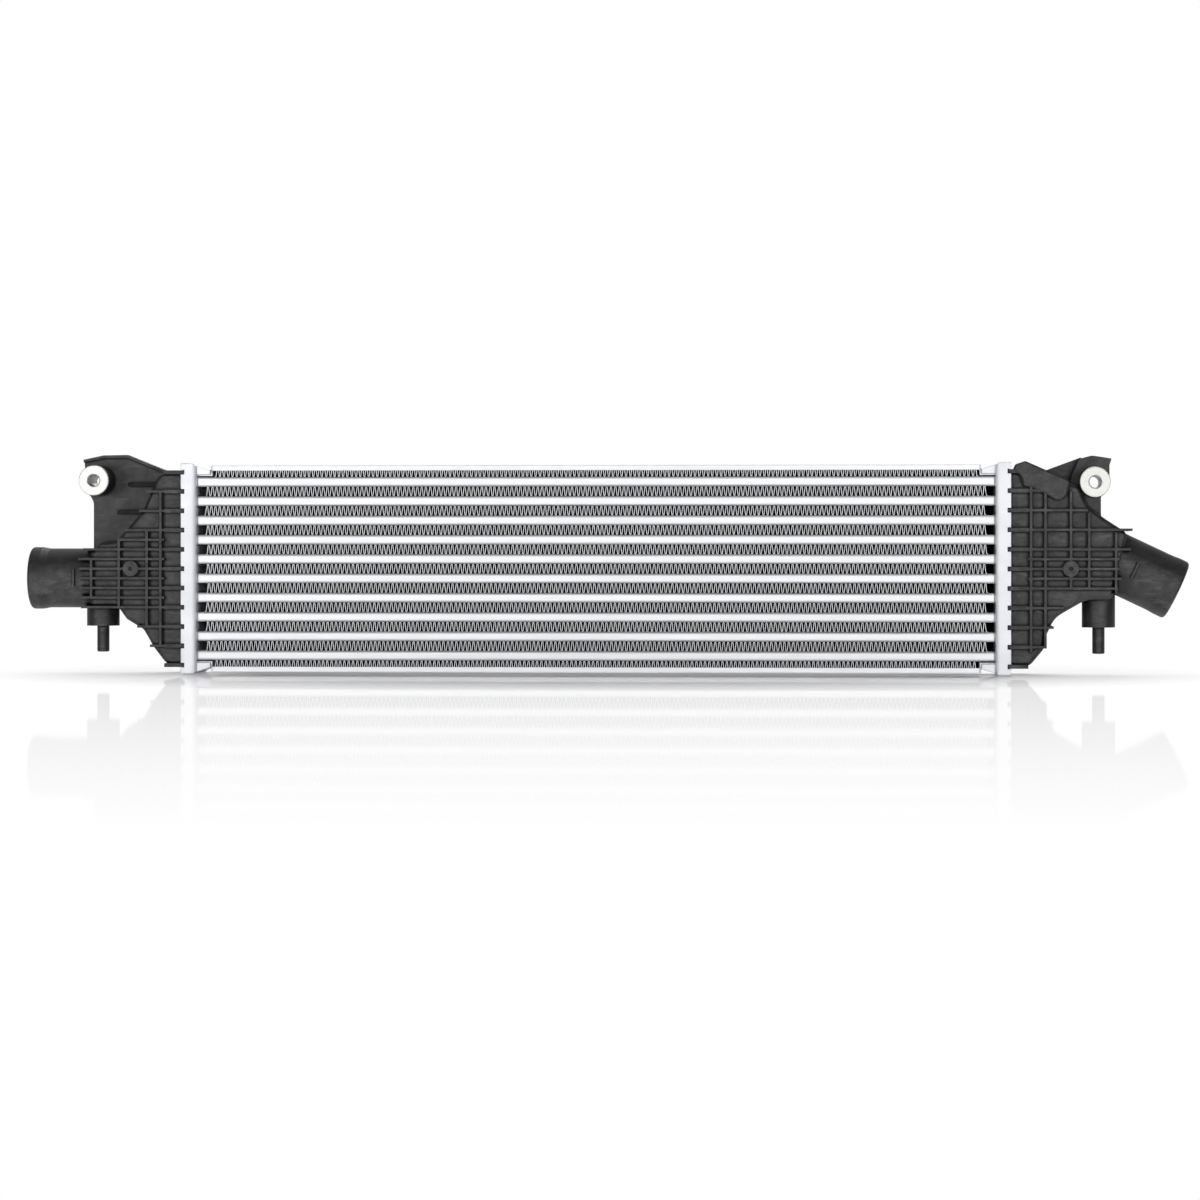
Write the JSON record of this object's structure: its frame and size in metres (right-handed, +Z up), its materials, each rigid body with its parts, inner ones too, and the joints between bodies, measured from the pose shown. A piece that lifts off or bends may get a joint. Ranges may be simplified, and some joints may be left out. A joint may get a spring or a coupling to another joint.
{
  "type": "intercooler",
  "caption": "Charge air cooler with a brazed aluminium core, crimped black nylon end tanks, hose spigots, locating pins and rubber-bushed mounting sleeves",
  "frame": {"origin": "under the middle of the whole part, on the surface that the two headers stand on", "axes": "X along the tubes, -Y the front face of the core, Z up"},
  "size_m": [0.926, 0.062, 0.1756],
  "materials": {
    "brazed_aluminium": "satin",
    "fin_aluminium": "satin",
    "tank_nylon": "matte",
    "bush_rubber": "matte",
    "seal_rubber": "matte",
    "zinc_steel": "satin"
  },
  "bodies": {
    "root": {"tube_01": "brazed_aluminium", "tube_02": "brazed_aluminium", "tube_03": "brazed_aluminium", "tube_04": "brazed_aluminium", "tube_05": "brazed_aluminium", "tube_06": "brazed_aluminium", "tube_07": "brazed_aluminium", "tube_08": "brazed_aluminium", "tube_09": "brazed_aluminium", "tube_10": "brazed_aluminium", "fin_01": "fin_aluminium", "fin_02": "fin_aluminium", "fin_03": "fin_aluminium", "fin_04": "fin_aluminium", "fin_05": "fin_aluminium", "fin_06": "fin_aluminium", "fin_07": "fin_aluminium", "fin_08": "fin_aluminium", "fin_09": "fin_aluminium", "fin_10": "fin_aluminium", "fin_11": "fin_aluminium", "inner_fin_01": "fin_aluminium", "inner_fin_02": "fin_aluminium", "inner_fin_03": "fin_aluminium", "inner_fin_04": "fin_aluminium", "inner_fin_05": "fin_aluminium", "inner_fin_06": "fin_aluminium", "inner_fin_07": "fin_aluminium", "inner_fin_08": "fin_aluminium", "inner_fin_09": "fin_aluminium", "inner_fin_10": "fin_aluminium", "left_header": "brazed_aluminium", "left_gasket": "seal_rubber", "left_air_seal": "seal_rubber", "left_tank": "tank_nylon", "left_bush": "bush_rubber", "left_sleeve": "zinc_steel", "right_header": "brazed_aluminium", "right_gasket": "seal_rubber", "right_air_seal": "seal_rubber", "right_tank": "tank_nylon", "right_bush": "bush_rubber", "right_sleeve": "zinc_steel", "upper_side_plate": "brazed_aluminium", "lower_side_plate": "brazed_aluminium"}
  },
  "joints": []
}
